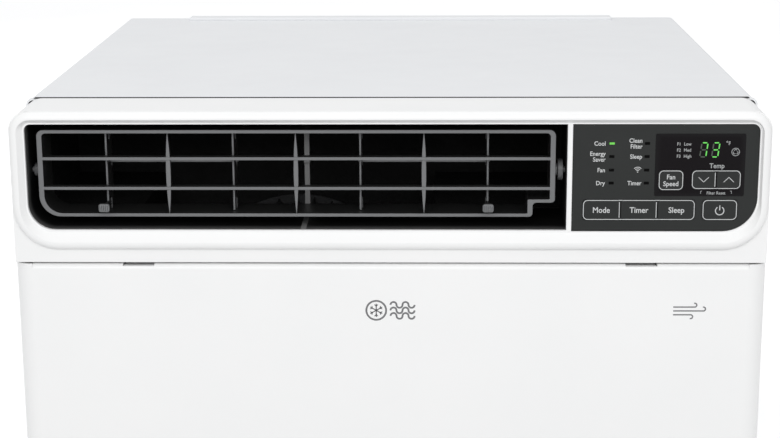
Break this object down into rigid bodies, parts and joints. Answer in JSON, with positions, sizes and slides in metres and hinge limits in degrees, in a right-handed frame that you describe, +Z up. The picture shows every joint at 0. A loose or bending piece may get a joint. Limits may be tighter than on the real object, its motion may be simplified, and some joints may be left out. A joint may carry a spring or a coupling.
{
  "type": "window air conditioner",
  "caption": "Window air conditioner: steel cabinet, white front case with tilting louver and swinging vanes, key panel, opening inlet panel, side filter and slide-out chassis.",
  "frame": {"origin": "middle of the footprint at the underside of the cabinet", "axes": "+X to the right seen from the room, +Y from the room towards outdoors, +Z up"},
  "size_m": [0.6, 0.565, 0.38],
  "materials": {
    "white_case": "satin moulded white",
    "cabinet_paint": "fine satin powder coat",
    "grille_paint": "satin powder coat",
    "black_plastic": "fine matte",
    "louver_grey": "satin moulded grey",
    "fascia_grey": "satin dark grey",
    "display_glass": "gloss tinted",
    "lamp_lens": "frosted clear",
    "board": "solder mask",
    "components": "mixed",
    "galvanised": "zinc coated",
    "bright_steel": "ground",
    "fins": "plain fin stock",
    "copper": "drawn copper tube",
    "black_enamel": "baked black enamel",
    "motor_shell": "grey enamel",
    "rubber": "matte",
    "moulded_grey": "moulded",
    "filter_plastic": "moulded",
    "filter_net": "woven net",
    "sensor": "copper bulb"
  },
  "bodies": {
    "cabinet": {"cabinet_shell": "cabinet_paint", "rear_top_rail": "cabinet_paint", "rear_grille": "grille_paint", "cabinet_screws": "galvanised"},
    "chassis": {"base_pan": "galvanised", "partition": "galvanised", "drain_pan": "moulded_grey", "evaporator_coil": "fins", "condenser_coil": "fins", "coil_return_bends": "copper", "suction_line": "copper", "liquid_line": "copper", "filter_drier": "copper", "discharge_line": "copper", "compressor": "black_enamel", "compressor_grommets": "rubber", "compressor_studs": "galvanised", "terminal_cover": "moulded_grey", "accumulator": "black_enamel", "accumulator_strap": "galvanised", "fan_motor": "motor_shell", "motor_bearings": "bright_steel", "motor_bracket": "galvanised", "fan_shroud": "moulded_grey", "blower_scroll": "moulded_grey", "front_case": "white_case", "case_screws": "galvanised", "cord_gland": "rubber", "outlet_housing": "black_plastic", "control_fascia": "fascia_grey", "display_window": "display_glass", "indicator_lamps": "lamp_lens", "digit_display": "display_glass", "display_board": "board", "control_box": "grille_paint", "main_board": "board", "board_components": "components", "heat_sink": "fins", "room_sensor": "sensor"},
    "louver": {"louver_frame": "louver_grey"},
    "vane_one": {"vane_1": "louver_grey"},
    "vane_two": {"vane_2": "louver_grey"},
    "vane_three": {"vane_3": "louver_grey"},
    "vane_four": {"vane_4": "louver_grey"},
    "left_link": {"left_link_bar": "louver_grey"},
    "right_link": {"right_link_bar": "louver_grey"},
    "inlet": {"inlet_panel": "white_case", "inlet_hinge_pins": "bright_steel"},
    "filter": {"filter_frame": "filter_plastic", "filter_mesh": "filter_net"},
    "rotor": {"fan_shaft": "bright_steel", "blower_wheel": "moulded_grey", "condenser_fan": "moulded_grey"},
    "mode_button": {"mode_key": "fascia_grey"},
    "timer_button": {"timer_key": "fascia_grey"},
    "sleep_button": {"sleep_key": "fascia_grey"},
    "power_button": {"power_key": "fascia_grey"},
    "fan_speed_button": {"fan_speed_key": "fascia_grey"},
    "cooler_button": {"cooler_key": "fascia_grey"},
    "warmer_button": {"warmer_key": "fascia_grey"}
  },
  "joints": [
    {"name": "chassis_slide", "type": "slide", "parent": "cabinet", "child": "chassis", "axis": [0, -1, 0], "range_m": [0, 0.45]},
    {"name": "louver_tilt", "type": "hinge", "parent": "chassis", "child": "louver", "pos_m": [-0.0735, -0.252, 0.3265], "axis": [1, 0, 0], "range_deg": [-20, 20]},
    {"name": "vane_1_turn", "type": "hinge", "parent": "louver", "child": "vane_one", "pos_m": [-0.22515, -0.248, 0.3265], "axis": [0, 0, 1], "range_deg": [-30, 30]},
    {"name": "vane_2_turn", "type": "hinge", "parent": "louver", "child": "vane_two", "pos_m": [-0.12405, -0.248, 0.3265], "axis": [0, 0, 1], "range_deg": [-30, 30]},
    {"name": "vane_3_turn", "type": "hinge", "parent": "louver", "child": "vane_three", "pos_m": [-0.02295, -0.248, 0.3265], "axis": [0, 0, 1], "range_deg": [-30, 30]},
    {"name": "vane_4_turn", "type": "hinge", "parent": "louver", "child": "vane_four", "pos_m": [0.07815, -0.248, 0.3265], "axis": [0, 0, 1], "range_deg": [-30, 30]},
    {"name": "left_link_turn", "type": "hinge", "parent": "vane_one", "child": "left_link", "pos_m": [-0.22515, -0.241, 0.3305], "axis": [0, 0, 1], "range_deg": [-30, 30]},
    {"name": "right_link_turn", "type": "hinge", "parent": "vane_four", "child": "right_link", "pos_m": [0.07815, -0.241, 0.3305], "axis": [0, 0, 1], "range_deg": [-30, 30]},
    {"name": "inlet_panel_open", "type": "hinge", "parent": "chassis", "child": "inlet", "pos_m": [0, -0.273, 0.25], "axis": [-1, 0, 0], "range_deg": [0, 70]},
    {"name": "filter_slide", "type": "slide", "parent": "chassis", "child": "filter", "axis": [-1, 0, 0], "range_m": [0, 0.4]},
    {"name": "rotor_spin", "type": "hinge", "parent": "chassis", "child": "rotor", "pos_m": [-0.0851, -0.043, 0.1699], "axis": [0, 1, 0], "continuous": true},
    {"name": "mode_press", "type": "slide", "parent": "chassis", "child": "mode_button", "axis": [0, 1, 0], "range_m": [0, 0.0008], "stiffness_N_per_m": 1500},
    {"name": "timer_press", "type": "slide", "parent": "chassis", "child": "timer_button", "axis": [0, 1, 0], "range_m": [0, 0.0008], "stiffness_N_per_m": 1500},
    {"name": "sleep_press", "type": "slide", "parent": "chassis", "child": "sleep_button", "axis": [0, 1, 0], "range_m": [0, 0.0008], "stiffness_N_per_m": 1500},
    {"name": "power_press", "type": "slide", "parent": "chassis", "child": "power_button", "axis": [0, 1, 0], "range_m": [0, 0.0008], "stiffness_N_per_m": 1500},
    {"name": "fan_speed_press", "type": "slide", "parent": "chassis", "child": "fan_speed_button", "axis": [0, 1, 0], "range_m": [0, 0.0008], "stiffness_N_per_m": 1500},
    {"name": "cooler_press", "type": "slide", "parent": "chassis", "child": "cooler_button", "axis": [0, 1, 0], "range_m": [0, 0.0008], "stiffness_N_per_m": 1500},
    {"name": "warmer_press", "type": "slide", "parent": "chassis", "child": "warmer_button", "axis": [0, 1, 0], "range_m": [0, 0.0008], "stiffness_N_per_m": 1500}
  ],
  "couplings": [
    {"joint": "vane_2_turn", "follows": "vane_1_turn", "ratio": 1},
    {"joint": "left_link_turn", "follows": "vane_1_turn", "ratio": -1},
    {"joint": "vane_3_turn", "follows": "vane_4_turn", "ratio": 1},
    {"joint": "right_link_turn", "follows": "vane_4_turn", "ratio": -1}
  ]
}
